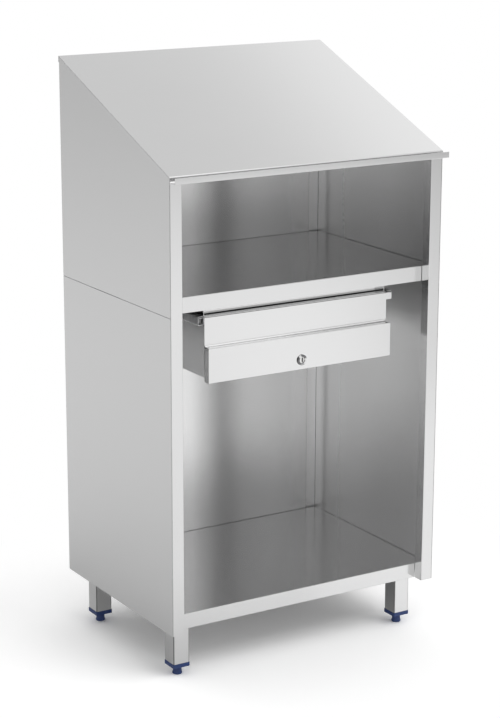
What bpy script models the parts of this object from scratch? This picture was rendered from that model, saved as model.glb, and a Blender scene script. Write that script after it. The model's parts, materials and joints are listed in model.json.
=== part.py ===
"""Host stand in folded stainless sheet.

A cabinet with a sloped desk top and a pen gutter, two open compartments, a locking drawer hung
on runners under the middle shelf, and four square legs on levelling feet.  Sizes are in metres.
X runs across the stand, Y from the front to the back, Z up from the floor.  While the pieces are
modelled, Y is counted from the front face of the posts.
"""

from math import atan2, cos, pi, radians, sin, tan, tau

import bmesh
import bpy
from mathutils import Vector

# Cabinet
WIDTH = 0.700                # across the outer faces of the side walls
SIDE_DEPTH = 0.5015          # front face of the posts to the back of the side walls
FRONT_EDGE_HEIGHT = 1.1365   # floor to the desk top at the front face of the posts
BACK_EDGE_HEIGHT = 1.3381    # floor to the desk top at the back of the side walls
BASE_HEIGHT = 0.1205         # floor to the bottom edge of the cabinet
LOWER_WALL_HEIGHT = 0.7145   # lower side and back panels
SEAM = 0.0010                # open joint between lower and upper panels

# Sheet metal
SHEET = 0.0012               # thickness of every folded sheet
BEND = 0.0018                # outer radius of a fold
BEND_STEPS = 3               # facets in a right-angle fold
WELD_GAP = 0.0003            # clearance between faces that touch

# Posts, walls and shelves
POST_FACE = 0.030            # wall's outer face to the post's inner edge
POST_RETURN = 0.026          # depth of the posts' folded edges
BACK_FLANGE = 0.042          # side panels' fold along the back
BACK_STRIP = 0.028           # side panels to the back panels' edges
BACK_HEM = 0.012             # width of the folded edges of the back panels
BACK_HEM_DEPTH = 0.003
SHELF_RIM = 0.036            # height of the shelves' folded edges
SHELF_BEND = 0.003           # outer radius of the folds at the decks' sides and backs
RIM_GAP = 0.0012             # posts' folded edges to the shelves' rims
RIM_RETURN = 0.015           # fold under the shelves' front rims

# Desk top
BACK_FOLD = 0.015
GUTTER_WIDTH = 0.0213        # clear width of the pen gutter
LIP_HEIGHT = 0.0135          # underside of the gutter to the top of its lip
GUTTER_BEND = 0.006          # outer radius of the folds along the gutter's floor
FRONT_EDGE_BEND = 0.003      # outer radius of the fold along the slope's front edge
DESK_GAP = 0.0008            # desk top above the walls' top edges

# Stiffeners
HAT_CROWN = 0.040
HAT_FOOT = 0.018
HAT_HEIGHT = 0.020
HAT_END_INSET = 0.030        # from the side walls
BASE_HAT_PLACE = 0.255       # behind the front of the posts
DESK_HAT_PLACE = 0.250

# Legs and feet
LEG = 0.040
LEG_WALL = 0.0015
LEG_CORNER = 0.002
LEG_SIDE_INSET = 0.030       # cabinet side to the leg's outer face
LEG_FRONT_INSET = 0.050      # front of the posts to the front legs
LEG_BACK_INSET = 0.0405      # rear legs to the back of the side walls
LEG_END = 0.030              # floor to the cut end of the legs
LEG_PLATE = 0.082
LEG_PLATE_CHAMFER = 0.012
LEG_PLATE_THICKNESS = 0.003
PLUG_OVERHANG = 0.001        # plug lip outside the leg's faces
PLUG_LIP = 0.009
PLUG_DEPTH = 0.024           # inside the leg
PLUG_CLEARANCE = 0.0003
STUD_RADIUS = 0.005
STUD_LENGTH = 0.045
STUD_SEAT = 0.012            # floor to the lower end of the stud
STUD_CLEARANCE = 0.0003
FOOT_TOP_RADIUS = 0.0098
FOOT_BASE_RADIUS = 0.0112
FOOT_EDGE = 0.0015           # rounding at the foot's lower edge
FOOT_FLARE = 0.008           # height of the foot's wider base

# Drawer
DRAWER_SIDE_SPACE = 0.1115   # cabinet side to the drawer's side
DRAWER_LENGTH = 0.390        # upper front plate to the back of the box
FRONT_SETBACK = 0.0315       # front of the posts to the lower front plate
LEDGE = 0.018                # step between the lower and the upper front plate
LEDGE_BEND = 0.006           # outer radius of the fold below the upper plate
UPPER_PLATE = 0.065
LOWER_PLATE = 0.078
FRONT_HEM = 0.006            # fold along the lower plate's bottom edge
LEDGE_RELIEF = 0.004         # corner cut at the ledge's left end
EAR_SIDE_RELIEF = 0.011      # corner cut at the ledge's right end, below the ear
EAR_WIDTH = 0.0145
EAR_HEIGHT = 0.0152
BOX_LIFT = 0.0095            # bottom of the lower plate to the bottom of the box
SIDE_RISE = 0.0035           # drawer sides above the upper plate
BACK_DROP = 0.018            # back wall below the drawer sides

# Cross rail and runners
CROSS_RAIL_DROP = 0.0218     # middle shelf's rim to the rail's underside
CROSS_RAIL_SETBACK = 0.0515
CROSS_RAIL_END_SETBACK = 0.056   # front of the posts to the rail's end plates
CROSS_RAIL_LIP_SETBACK = 0.074   # front of the posts to the lip above the rail's slot
CROSS_RAIL_SLOT = 0.0018
CROSS_RAIL_DEPTH = 0.046
FRONT_CLEARANCE = 0.0005     # upper plate below the cross rail
RUNNER_RISE = 0.0045         # runner's top above the upper plate
RUNNER_HEIGHT = 0.020
RUNNER_REACH = 0.015         # drawer side to the runner's outer face
RUNNER_MOUTH = 0.003         # drawer side to the runner's open edge
RAIL_REACH = 0.0115          # drawer side to the drawer rail's edge
RAIL_HEADROOM = 0.0022       # under the runner's top flange
GLIDE_LENGTH = 0.024
GLIDE_SIDE_GAP = 0.0005
FRONT_GLIDE_INSET = 0.006    # inside the runner's front end
REAR_GLIDE_INSET = 0.002     # inside the drawer rail's back end
HANGER_WIDTH = 0.040
HANGER_SHEET = 0.0015
HANGER_FLANGE = 0.025
HANGER_END_INSET = 0.080     # runner's ends to the near edge of a hanger

# Lock
LOCK_RISE = 0.0225           # bottom of the lower plate to the lock's axis
LOCK_BEZEL_RADIUS = 0.012
LOCK_BEZEL = 0.0035          # bezel in front of the plate
LOCK_BEZEL_CHAMFER = 0.001
LOCK_BODY_RADIUS = 0.0095
LOCK_REAR_REACH = 0.0015     # body behind the keeper
PLUG_FACE_RADIUS = 0.0072
PLUG_FACE_RECESS = 0.0022
PLUG_RUN_CLEARANCE = 0.0001
TAIL_RADIUS = 0.0040
TAIL_END = 0.0015            # tail behind the cam
KEYWAY_WIDTH = 0.0016
KEYWAY_HEIGHT = 0.0085
KEYWAY_DEPTH = 0.006
NUT_ACROSS_FLATS = 0.024
NUT_THICKNESS = 0.004
BODY_HOLE_CLEARANCE = 0.0003
WALL_HOLE_CLEARANCE = 0.0012
CAM_LENGTH = 0.030           # axis to the cam's tip
CAM_HALF_WIDTH = 0.0070
CAM_THICKNESS = 0.002
KEEPER_WIDTH = 0.040
KEEPER_SHEET = 0.0015
KEEPER_TAB = 0.016
KEEPER_SETBACK = 0.0570      # front of the posts to the keeper's front face
KEEPER_LAP = 0.014           # overlap of the raised cam and the keeper

ROUND_SEGMENTS = 32
BORE_SEGMENTS = 24

# Sizes that follow from the ones above
HALF_WIDTH = WIDTH / 2
WALL_INNER = HALF_WIDTH - SHEET - WELD_GAP
POST_INNER = HALF_WIDTH - POST_FACE
SLOPE = (BACK_EDGE_HEIGHT - FRONT_EDGE_HEIGHT) / SIDE_DEPTH
SLOPE_ANGLE = atan2(SLOPE, 1.0)
UNDER_DESK = (SHEET + DESK_GAP) / cos(SLOPE_ANGLE)
SEAM_HEIGHT = BASE_HEIGHT + LOWER_WALL_HEIGHT
FLANGE_FRONT = SIDE_DEPTH - SHEET
BACK_PANEL_FRONT = FLANGE_FRONT - WELD_GAP - BACK_HEM_DEPTH
DESK_BACK = SIDE_DEPTH + WELD_GAP + SHEET
DESK_DROP = SHEET + WELD_GAP
DESK_FRONT = -(DESK_DROP + GUTTER_WIDTH + SHEET)
MIDDLE = (DESK_FRONT + DESK_BACK) / 2
SHELF_FRONT = POST_RETURN + RIM_GAP
SHELF_BACK = BACK_PANEL_FRONT - WELD_GAP
BASE_SHELF_TOP = BASE_HEIGHT + SHELF_RIM
MID_RIM_BOTTOM = SEAM_HEIGHT + SEAM
MID_SHELF_TOP = MID_RIM_BOTTOM + SHELF_RIM
MID_DECK_UNDERSIDE = MID_SHELF_TOP - SHEET - WELD_GAP
CROSS_RAIL_BOTTOM = MID_RIM_BOTTOM - CROSS_RAIL_DROP
PLATE_TOP = CROSS_RAIL_BOTTOM - FRONT_CLEARANCE
LEDGE_HEIGHT = PLATE_TOP - UPPER_PLATE
PLATE_BOTTOM = LEDGE_HEIGHT - LOWER_PLATE
UPPER_SETBACK = FRONT_SETBACK + LEDGE
DRAWER_HALF = HALF_WIDTH - DRAWER_SIDE_SPACE
BOX_BOTTOM = PLATE_BOTTOM + BOX_LIFT
BOX_TOP = PLATE_TOP + SIDE_RISE
BOX_FRONT = UPPER_SETBACK + SHEET + WELD_GAP
BOX_BACK = UPPER_SETBACK + DRAWER_LENGTH
RUNNER_TOP = PLATE_TOP + RUNNER_RISE
RUNNER_BOTTOM = RUNNER_TOP - RUNNER_HEIGHT
RUNNER_FRONT = UPPER_SETBACK + SHEET + WELD_GAP
RAIL_TOP = RUNNER_TOP - SHEET - RAIL_HEADROOM
GLIDE_BOTTOM = RUNNER_BOTTOM + SHEET + WELD_GAP
GLIDE_TOP = RAIL_TOP - SHEET - WELD_GAP
LOCK_HEIGHT = PLATE_BOTTOM + LOCK_RISE
CAM_FRONT = KEEPER_SETBACK + KEEPER_SHEET + LOCK_REAR_REACH + WELD_GAP
KEEPER_BOTTOM = LOCK_HEIGHT + CAM_LENGTH - KEEPER_LAP
PLUG_LIP_BOTTOM = LEG_END - PLUG_LIP
FOOT_TOP = PLUG_LIP_BOTTOM - WELD_GAP


def desk_height(depth):
    """Height of the desk top's upper face at a depth behind the front of the posts."""
    return FRONT_EDGE_HEIGHT + SLOPE * depth


def wall_top(x, y):
    """Height of the walls' and posts' sloped top edges, just under the desk top."""
    return desk_height(y) - UNDER_DESK


def back_panel_top(x, y):
    """Height of the upper back panel, inside the desk top's back fold."""
    return desk_height(BACK_PANEL_FRONT) - UNDER_DESK


# Outlines

def rounded_path(corners, sheet, bend):
    """Points of a fold line whose sheet lies to the left, with each corner turned to a bend.

    A corner's third number, where it has one, is its own outer radius; 0 keeps the corner sharp.
    """
    points = [Vector(corners[0][:2])]
    for before, corner, after in zip(corners, corners[1:], corners[2:]):
        own_bend = corner[2] if len(corner) > 2 else bend
        corner = Vector(corner[:2])
        if own_bend == 0:
            points.append(corner)
            continue
        arriving = (corner - Vector(before[:2])).normalized()
        leaving = (Vector(after[:2]) - corner).normalized()
        cross = arriving.x * leaving.y - arriving.y * leaving.x
        turn = atan2(cross, arriving.dot(leaving))
        radius = own_bend if turn > 0 else own_bend - sheet
        reach = radius * tan(abs(turn) / 2)
        side = 1 if turn > 0 else -1
        start = corner - arriving * reach
        centre = start + Vector((-arriving.y, arriving.x)) * radius * side
        steps = max(1, round(BEND_STEPS * abs(turn) / (pi / 2)))
        for step in range(steps + 1):
            angle = turn * step / steps
            spoke = start - centre
            points.append(centre + Vector((spoke.x * cos(angle) - spoke.y * sin(angle),
                                           spoke.x * sin(angle) + spoke.y * cos(angle))))
    points.append(Vector(corners[-1][:2]))
    return points


def folded_outline(corners, sheet=SHEET, bend=BEND):
    """Closed outline of a folded sheet; the corners run along one face, the sheet on their left."""
    face = rounded_path(corners, sheet, bend)
    other_face = []
    for index, point in enumerate(face):
        before = face[max(index - 1, 0)]
        after = face[min(index + 1, len(face) - 1)]
        arriving = (point - before).normalized() if index > 0 else (after - point).normalized()
        leaving = (after - point).normalized() if index < len(face) - 1 else arriving
        normal = Vector((-arriving.y - leaving.y, arriving.x + leaving.x)).normalized()
        stretch = normal.dot(Vector((-arriving.y, arriving.x)))
        other_face.append(point + normal * sheet / stretch)
    return [tuple(point) for point in face + other_face[::-1]]


def rectangle(low_u, high_u, low_v, high_v):
    return [(low_u, low_v), (high_u, low_v), (high_u, high_v), (low_u, high_v)]


def chamfered_square(centre_u, centre_v, width, cut):
    """Square outline with its corners cut off."""
    half = width / 2
    inner = half - cut
    corners = [(inner, -half), (half, -inner), (half, inner), (inner, half),
               (-inner, half), (-half, inner), (-half, -inner), (-inner, -half)]
    return [(centre_u + u, centre_v + v) for u, v in corners]


def rounded_square(centre_u, centre_v, width, radius, steps=3):
    """Square outline with its corners rounded."""
    inner = width / 2 - radius
    points = []
    for quarter, (sign_u, sign_v) in enumerate(((1, 1), (-1, 1), (-1, -1), (1, -1))):
        for step in range(steps + 1):
            angle = pi / 2 * (quarter + step / steps)
            points.append((centre_u + sign_u * inner + radius * cos(angle),
                           centre_v + sign_v * inner + radius * sin(angle)))
    return points


def circle(centre_u, centre_v, radius, segments):
    turns = [tau * (index + 0.5) / segments for index in range(segments)]
    return [(centre_u + radius * cos(turn), centre_v + radius * sin(turn)) for turn in turns]


def mirrored(outline, side):
    """Outline drawn for the right-hand side (+1), turned over for the left-hand side (-1)."""
    return [(u * side, v) for u, v in outline]


# Solids

def along_z(u, v, w):
    return (u, v, w)


def along_x(u, v, w):
    return (w, u, v)


def along_y(u, v, w):
    return (u, w, v)


def prism(outline, direction, low, high):
    """Solid between two ends of an outline; an end is a number or a function of the outline's u, v."""
    solid = bmesh.new()
    ends = []
    for end in (low, high):
        levels = [end(u, v) if callable(end) else end for u, v in outline]
        ends.append([solid.verts.new(direction(u, v, w)) for (u, v), w in zip(outline, levels)])
    count = len(outline)
    for index in range(count):
        following = (index + 1) % count
        solid.faces.new((ends[0][index], ends[0][following], ends[1][following], ends[1][index]))
    solid.faces.new(ends[0][::-1])
    solid.faces.new(ends[1])
    return finished_mesh(solid)


def turned(profile, direction, centre_u, centre_v, segments=ROUND_SEGMENTS):
    """Solid of revolution from (radius, place along the axis) points, first and last on the axis."""
    solid = bmesh.new()
    rings = []
    for radius, place in profile:
        if radius == 0:
            rings.append([solid.verts.new(direction(centre_u, centre_v, place))])
        else:
            ring = circle(centre_u, centre_v, radius, segments)
            rings.append([solid.verts.new(direction(u, v, place)) for u, v in ring])
    for lower, upper in zip(rings, rings[1:]):
        for index in range(segments):
            following = (index + 1) % segments
            corners = [lower[index % len(lower)], lower[following % len(lower)],
                       upper[following % len(upper)], upper[index % len(upper)]]
            solid.faces.new(list(dict.fromkeys(corners)))
    return finished_mesh(solid)


def finished_mesh(solid):
    bmesh.ops.recalc_face_normals(solid, faces=solid.faces)
    mesh = bpy.data.meshes.new("solid")
    solid.to_mesh(mesh)
    solid.free()
    return mesh


def combined(operation, mesh, *others):
    """Mesh joined with, or cut by, other meshes."""
    for other in others:
        base = bpy.data.objects.new("base", mesh)
        tool = bpy.data.objects.new("tool", other)
        for item in (base, tool):
            bpy.context.scene.collection.objects.link(item)
        modifier = base.modifiers.new("combine", "BOOLEAN")
        modifier.operation = operation
        modifier.solver = "EXACT"
        modifier.object = tool
        scene_state = bpy.context.evaluated_depsgraph_get()
        result = bpy.data.meshes.new_from_object(base.evaluated_get(scene_state))
        for item in (base, tool):
            bpy.data.objects.remove(item)
        bpy.data.meshes.remove(mesh)
        bpy.data.meshes.remove(other)
        mesh = result
    return mesh


def joined(mesh, *others):
    return combined("UNION", mesh, *others)


def cut(mesh, *tools):
    return combined("DIFFERENCE", mesh, *tools)


def box(low_x, high_x, low_y, high_y, low_z, high_z):
    return prism(rectangle(low_x, high_x, low_y, high_y), along_z, low_z, high_z)


def span(side, near, far):
    """Lower and upper x of a stretch measured outwards from the middle on one side."""
    return sorted((side * near, side * far))


# Cabinet pieces

def front_post(side):
    """Channel open to the back, its top cut to the slope of the desk."""
    corners = [(POST_INNER, POST_RETURN), (POST_INNER, 0.0),
               (WALL_INNER, 0.0, 0), (WALL_INNER, POST_RETURN)]
    return prism(mirrored(folded_outline(corners), side), along_z, BASE_HEIGHT, wall_top)


def side_panel(side, low, high):
    """Wall sheet with its back edge folded inwards."""
    corners = [(HALF_WIDTH, 0.0), (HALF_WIDTH, SIDE_DEPTH), (HALF_WIDTH - BACK_FLANGE, SIDE_DEPTH)]
    return prism(mirrored(folded_outline(corners), side), along_z, low, high)


def back_panel(low, high):
    """Flat sheet in front of the side panels' back flanges, its upright edges folded double."""
    half = HALF_WIDTH - SHEET - BACK_STRIP
    panel = prism(rectangle(-half, half, BACK_PANEL_FRONT, BACK_PANEL_FRONT + SHEET), along_z, low, high)
    for side in (-1, 1):
        low_x, high_x = span(side, half - BACK_HEM, half)
        hem = rectangle(low_x, high_x, BACK_PANEL_FRONT + SHEET / 2, BACK_PANEL_FRONT + BACK_HEM_DEPTH)
        panel = joined(panel, prism(hem, along_z, low, high))
    return panel


def desk_top():
    """One sheet: back fold, slope, drop in front of the posts, gutter floor and turned-up lip."""
    gutter_floor = FRONT_EDGE_HEIGHT - LIP_HEIGHT + SHEET
    lip_inside = -(DESK_DROP + GUTTER_WIDTH)
    corners = [(DESK_BACK, desk_height(DESK_BACK) - BACK_FOLD),
               (DESK_BACK, desk_height(DESK_BACK)),
               (-DESK_DROP, desk_height(-DESK_DROP), FRONT_EDGE_BEND),
               (-DESK_DROP, gutter_floor, GUTTER_BEND),
               (lip_inside, gutter_floor, GUTTER_BEND),
               (lip_inside, FRONT_EDGE_HEIGHT)]
    return prism(folded_outline(corners), along_x, -HALF_WIDTH, HALF_WIDTH)


def shelf(top):
    """Tray turned upside down: a front rim folded under, and flanges at the back and sides.

    The flanges stop short of each other at the tray's corners.
    """
    bottom = top - SHELF_RIM
    half = WALL_INNER - SHELF_BEND
    lengthways = [(SHELF_BACK, bottom), (SHELF_BACK, top, SHELF_BEND), (SHELF_FRONT, top),
                  (SHELF_FRONT, bottom), (SHELF_FRONT + RIM_RETURN, bottom)]
    sideways = [(WALL_INNER, bottom + BEND), (WALL_INNER, top, SHELF_BEND),
                (-WALL_INNER, top, SHELF_BEND), (-WALL_INNER, bottom + BEND)]
    return joined(prism(folded_outline(lengthways), along_x, -half, half),
                  prism(folded_outline(sideways), along_y, SHELF_FRONT + BEND, SHELF_BACK - SHELF_BEND))


def hat_outline(across, level, angle):
    """Outline of a hat section whose feet lie against a face at a level, tilted with that face."""
    half = HAT_CROWN / 2
    flat = [(-half - HAT_FOOT, 0.0), (-half, 0.0), (-half, -HAT_HEIGHT),
            (half, -HAT_HEIGHT), (half, 0.0), (half + HAT_FOOT, 0.0)]
    tilted = []
    for along, height in folded_outline(flat):
        lowered = height - SHEET - WELD_GAP
        tilted.append((across + along * cos(angle) - lowered * sin(angle),
                       level + along * sin(angle) + lowered * cos(angle)))
    return tilted


def base_stiffener():
    half = WALL_INNER - HAT_END_INSET
    outline = hat_outline(BASE_HAT_PLACE, BASE_SHELF_TOP - SHEET, 0.0)
    return prism(outline, along_x, -half, half)


def desk_stiffener():
    half = WALL_INNER - HAT_END_INSET
    underside = desk_height(DESK_HAT_PLACE) - SHEET / cos(SLOPE_ANGLE)
    return prism(hat_outline(DESK_HAT_PLACE, underside, SLOPE_ANGLE), along_x, -half, half)


def cross_rail():
    """Lipped channel under the middle shelf, slotted along its front and closed at both ends."""
    back = CROSS_RAIL_SETBACK + CROSS_RAIL_DEPTH
    half = DRAWER_HALF - SHEET - WELD_GAP
    corners = [(CROSS_RAIL_SETBACK, CROSS_RAIL_BOTTOM), (back, CROSS_RAIL_BOTTOM),
               (back, MID_DECK_UNDERSIDE), (CROSS_RAIL_LIP_SETBACK, MID_DECK_UNDERSIDE),
               (CROSS_RAIL_LIP_SETBACK, CROSS_RAIL_BOTTOM + SHEET + CROSS_RAIL_SLOT)]
    rail = prism(folded_outline(corners), along_x, -half, half)
    for side in (-1, 1):
        low_x, high_x = span(side, half - SHEET, half)
        rail = joined(rail, box(low_x, high_x, CROSS_RAIL_END_SETBACK, back - SHEET / 2,
                                CROSS_RAIL_BOTTOM + SHEET / 2, MID_RIM_BOTTOM))
    return rail


# Drawer runners

def runner(side):
    """Channel open towards the drawer."""
    outer = DRAWER_HALF + RUNNER_REACH
    inner = DRAWER_HALF + RUNNER_MOUTH
    corners = [(inner, RUNNER_BOTTOM), (outer, RUNNER_BOTTOM), (outer, RUNNER_TOP), (inner, RUNNER_TOP)]
    return prism(mirrored(folded_outline(corners), side), along_y, RUNNER_FRONT, BOX_BACK)


def runner_hanger(side, front):
    """Angle that carries a runner from the underside of the middle shelf."""
    inner = DRAWER_HALF + RUNNER_REACH + WELD_GAP
    corners = [(inner + HANGER_FLANGE, MID_DECK_UNDERSIDE), (inner, MID_DECK_UNDERSIDE),
               (inner, RUNNER_BOTTOM)]
    outline = folded_outline(corners, HANGER_SHEET, HANGER_SHEET + BEND - SHEET)
    return prism(mirrored(outline, side), along_y, front, front + HANGER_WIDTH)


def drawer_rail(side):
    """Angle on the drawer's side; its flange rides inside the runner."""
    inner = DRAWER_HALF + WELD_GAP
    corners = [(DRAWER_HALF + RAIL_REACH, RAIL_TOP), (inner, RAIL_TOP), (inner, GLIDE_BOTTOM)]
    return prism(mirrored(folded_outline(corners), side), along_y, RUNNER_FRONT, BOX_BACK)


def front_glide(side):
    """Block on the runner's lower flange that the drawer rail slides on."""
    low_x, high_x = span(side, DRAWER_HALF + RUNNER_MOUTH + GLIDE_SIDE_GAP,
                         DRAWER_HALF + RUNNER_REACH - SHEET - WELD_GAP)
    return glide_block(low_x, high_x, RUNNER_FRONT + FRONT_GLIDE_INSET)


def rear_glide(side):
    """Block on the drawer rail that slides along the runner's lower flange."""
    low_x, high_x = span(side, DRAWER_HALF + WELD_GAP + SHEET + WELD_GAP,
                         DRAWER_HALF + RUNNER_REACH - SHEET - GLIDE_SIDE_GAP)
    return glide_block(low_x, high_x, BOX_BACK - REAR_GLIDE_INSET - GLIDE_LENGTH)


def glide_block(low_x, high_x, start):
    """Block with both ends of its upper and lower face eased."""
    ease = (GLIDE_TOP - GLIDE_BOTTOM) / 5
    end = start + GLIDE_LENGTH
    outline = [(start + ease, GLIDE_BOTTOM), (end - ease, GLIDE_BOTTOM), (end, GLIDE_BOTTOM + ease),
               (end, GLIDE_TOP - ease), (end - ease, GLIDE_TOP), (start + ease, GLIDE_TOP),
               (start, GLIDE_TOP - ease), (start, GLIDE_BOTTOM + ease)]
    return prism(outline, along_x, low_x, high_x)


# Drawer

def drawer_box():
    """Bottom and two sides of the drawer, folded from one sheet, between its front and back walls."""
    corners = [(-DRAWER_HALF, BOX_TOP), (-DRAWER_HALF, BOX_BOTTOM),
               (DRAWER_HALF, BOX_BOTTOM), (DRAWER_HALF, BOX_TOP)]
    wall = SHEET + WELD_GAP
    return prism(folded_outline(corners), along_y, BOX_FRONT + wall, BOX_BACK - wall)


def drawer_wall(front, top):
    """Flat sheet welded across an end of the folded drawer box."""
    return box(-DRAWER_HALF, DRAWER_HALF, front, front + SHEET, BOX_BOTTOM, top)


def drawer_box_front():
    """Front wall, bored for the lock."""
    hole = lock_hole(LOCK_BODY_RADIUS + WALL_HOLE_CLEARANCE, BOX_FRONT - SHEET, BOX_FRONT + 2 * SHEET)
    return cut(drawer_wall(BOX_FRONT, PLATE_TOP), hole)


def drawer_box_back():
    """Back wall, lower than the sides."""
    return drawer_wall(BOX_BACK - SHEET, BOX_TOP - BACK_DROP)


def drawer_front():
    """Stepped front: upper plate with its ear, ledge, lower plate with returns and a hemmed edge."""
    corners = [(UPPER_SETBACK, PLATE_TOP), (UPPER_SETBACK, LEDGE_HEIGHT, LEDGE_BEND),
               (FRONT_SETBACK, LEDGE_HEIGHT), (FRONT_SETBACK, PLATE_BOTTOM),
               (FRONT_SETBACK + FRONT_HEM, PLATE_BOTTOM)]
    front = prism(folded_outline(corners), along_x, -DRAWER_HALF, DRAWER_HALF)
    ear = box(DRAWER_HALF - SHEET, DRAWER_HALF + EAR_WIDTH, UPPER_SETBACK, UPPER_SETBACK + SHEET,
              PLATE_TOP - EAR_HEIGHT, PLATE_TOP)
    front = joined(front, ear)
    start, end = FRONT_SETBACK + BEND, UPPER_SETBACK - WELD_GAP
    for side, relief in ((-1, LEDGE_RELIEF), (1, EAR_SIDE_RELIEF)):
        corner = [(DRAWER_HALF - relief, start), (DRAWER_HALF + SHEET, start),
                  (DRAWER_HALF + SHEET, end), (DRAWER_HALF - SHEET, end)]
        low, high = LEDGE_HEIGHT - BEND, LEDGE_HEIGHT + LEDGE_BEND
        front = cut(front, prism(mirrored(corner, side), along_z, low, high))
        low_x, high_x = span(side, DRAWER_HALF - SHEET, DRAWER_HALF)
        front = joined(front, box(low_x, high_x, FRONT_SETBACK + SHEET / 2, UPPER_SETBACK,
                                  PLATE_BOTTOM + SHEET / 2, LEDGE_HEIGHT - BEND))
    hole_radius = LOCK_BODY_RADIUS + BODY_HOLE_CLEARANCE
    return cut(front, lock_hole(hole_radius, FRONT_SETBACK - SHEET, FRONT_SETBACK + 2 * SHEET))


def lock_hole(radius, start, end):
    return prism(circle(0.0, LOCK_HEIGHT, radius, ROUND_SEGMENTS), along_y, start, end)


# Lock

def lock_body():
    """Barrel with a chamfered bezel in front of the plate, bored for the plug."""
    front = FRONT_SETBACK - LOCK_BEZEL
    end = CAM_FRONT - WELD_GAP
    shoulder = FRONT_SETBACK - WELD_GAP
    profile = [(0, front), (LOCK_BEZEL_RADIUS - LOCK_BEZEL_CHAMFER, front),
               (LOCK_BEZEL_RADIUS, front + LOCK_BEZEL_CHAMFER), (LOCK_BEZEL_RADIUS, shoulder),
               (LOCK_BODY_RADIUS, shoulder), (LOCK_BODY_RADIUS, end), (0, end)]
    body = turned(profile, along_y, 0.0, LOCK_HEIGHT)
    return cut(body, lock_hole(PLUG_FACE_RADIUS + PLUG_RUN_CLEARANCE, front - SHEET, end + SHEET))


def lock_plug():
    """Turning plug with a keyway in its recessed face and a tail for the cam."""
    face = FRONT_SETBACK - LOCK_BEZEL + PLUG_FACE_RECESS
    shoulder = CAM_FRONT - WELD_GAP
    end = CAM_FRONT + CAM_THICKNESS + TAIL_END
    profile = [(0, face), (PLUG_FACE_RADIUS, face), (PLUG_FACE_RADIUS, shoulder),
               (TAIL_RADIUS, shoulder), (TAIL_RADIUS, end), (0, end)]
    keyway = box(-KEYWAY_WIDTH / 2, KEYWAY_WIDTH / 2, face - SHEET, face + KEYWAY_DEPTH,
                 LOCK_HEIGHT - KEYWAY_HEIGHT / 2, LOCK_HEIGHT + KEYWAY_HEIGHT / 2)
    return cut(turned(profile, along_y, 0.0, LOCK_HEIGHT), keyway)


def lock_nut():
    """Hexagon nut behind the lower plate."""
    radius = NUT_ACROSS_FLATS / 2 / cos(pi / 6)
    start = FRONT_SETBACK + SHEET + WELD_GAP
    nut = prism(circle(0.0, LOCK_HEIGHT, radius, 6), along_y, start, start + NUT_THICKNESS)
    hole = lock_hole(LOCK_BODY_RADIUS + BODY_HOLE_CLEARANCE, start - SHEET, start + NUT_THICKNESS + SHEET)
    return cut(nut, hole)


def lock_cam():
    """Tongue on the plug's tail, pointing sideways when unlocked, with a rounded hub and tip."""
    tip = CAM_LENGTH - CAM_HALF_WIDTH / 2
    outline = []
    for step in range(13):
        angle = pi / 2 + pi * step / 12
        outline.append((CAM_HALF_WIDTH * cos(angle), LOCK_HEIGHT + CAM_HALF_WIDTH * sin(angle)))
    for step in range(7):
        angle = -pi / 2 + pi * step / 6
        outline.append((tip + CAM_HALF_WIDTH / 2 * cos(angle), LOCK_HEIGHT + CAM_HALF_WIDTH * sin(angle)))
    start = CAM_FRONT
    cam = prism(outline, along_y, start, start + CAM_THICKNESS)
    hole = lock_hole(TAIL_RADIUS + WELD_GAP, start - SHEET, start + CAM_THICKNESS + SHEET)
    return cut(cam, hole)


def keeper():
    """Plate hung from the cross rail; the raised cam stands behind its lower edge."""
    top = CROSS_RAIL_BOTTOM - WELD_GAP
    corners = [(KEEPER_SETBACK + KEEPER_TAB, top), (KEEPER_SETBACK, top), (KEEPER_SETBACK, KEEPER_BOTTOM)]
    outline = folded_outline(corners, KEEPER_SHEET, KEEPER_SHEET + BEND - SHEET)
    return prism(outline, along_x, -KEEPER_WIDTH / 2, KEEPER_WIDTH / 2)


# Legs and feet

def leg_centre(side, row):
    """Centre of a leg in plan; row 0 is the front pair, row 1 the rear pair."""
    across = side * (HALF_WIDTH - LEG_SIDE_INSET - LEG / 2)
    depths = (LEG_FRONT_INSET + LEG / 2, SIDE_DEPTH - LEG_BACK_INSET - LEG / 2)
    return across, depths[row]


def leg(x, y):
    """Square tube standing under its leg plate."""
    top = BASE_SHELF_TOP - SHEET - WELD_GAP - LEG_PLATE_THICKNESS - WELD_GAP
    tube = prism(rounded_square(x, y, LEG, LEG_CORNER), along_z, LEG_END, top)
    bore_width = LEG - 2 * LEG_WALL
    bore = rounded_square(x, y, bore_width, LEG_CORNER - LEG_WALL)
    return cut(tube, prism(bore, along_z, LEG_END - LEG, top + LEG))


def leg_plate(x, y):
    top = BASE_SHELF_TOP - SHEET - WELD_GAP
    outline = chamfered_square(x, y, LEG_PLATE, LEG_PLATE_CHAMFER)
    return prism(outline, along_z, top - LEG_PLATE_THICKNESS, top)


def leg_plug(x, y):
    """Plastic plug: a lip under the leg and a hollow-cornered body inside it, bored for the stud."""
    lip = prism(rounded_square(x, y, LEG + 2 * PLUG_OVERHANG, LEG_CORNER), along_z,
                PLUG_LIP_BOTTOM, LEG_END - WELD_GAP)
    body_width = LEG - 2 * LEG_WALL - 2 * PLUG_CLEARANCE
    body = prism(chamfered_square(x, y, body_width, LEG_CORNER), along_z,
                 LEG_END - PLUG_LIP / 2, LEG_END + PLUG_DEPTH)
    bore = prism(circle(x, y, STUD_RADIUS + STUD_CLEARANCE, BORE_SEGMENTS), along_z,
                 PLUG_LIP_BOTTOM - LEG, LEG_END + PLUG_DEPTH + LEG)
    return cut(joined(lip, body), bore)


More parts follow.
